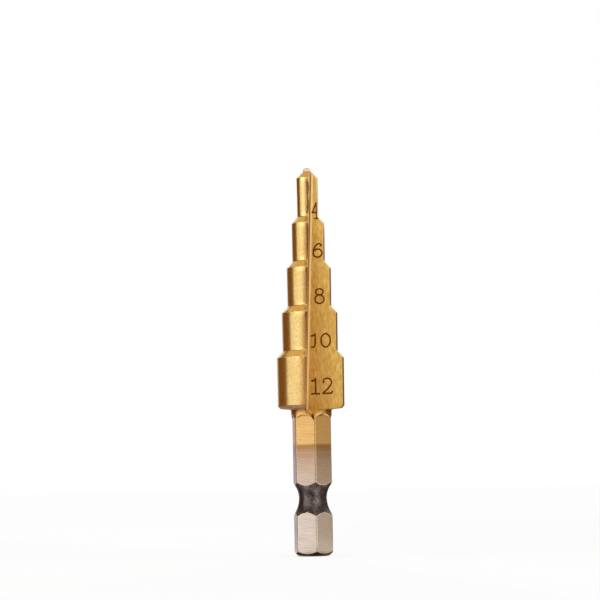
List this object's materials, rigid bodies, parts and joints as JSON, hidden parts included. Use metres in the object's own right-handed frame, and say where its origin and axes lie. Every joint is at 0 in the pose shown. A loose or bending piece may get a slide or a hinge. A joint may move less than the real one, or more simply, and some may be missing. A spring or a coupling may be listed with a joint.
{
  "type": "step drill",
  "caption": "Step drill for sheet metal with straight V flutes, conical shoulders and a hexagonal quick-change shank.",
  "frame": {"origin": "centre of the flat end of the shank, which the drill stands on", "axes": "+Z along the drill's axis from the shank to the tip; one flat of the hexagon faces -Y"},
  "size_m": [0.0118, 0.012, 0.0689],
  "materials": {
    "coated_steel": "satin gold nitride coating over ground steel, bare steel on the lower shank"
  },
  "bodies": {
    "root": {"step_drill": "coated_steel"}
  },
  "joints": []
}
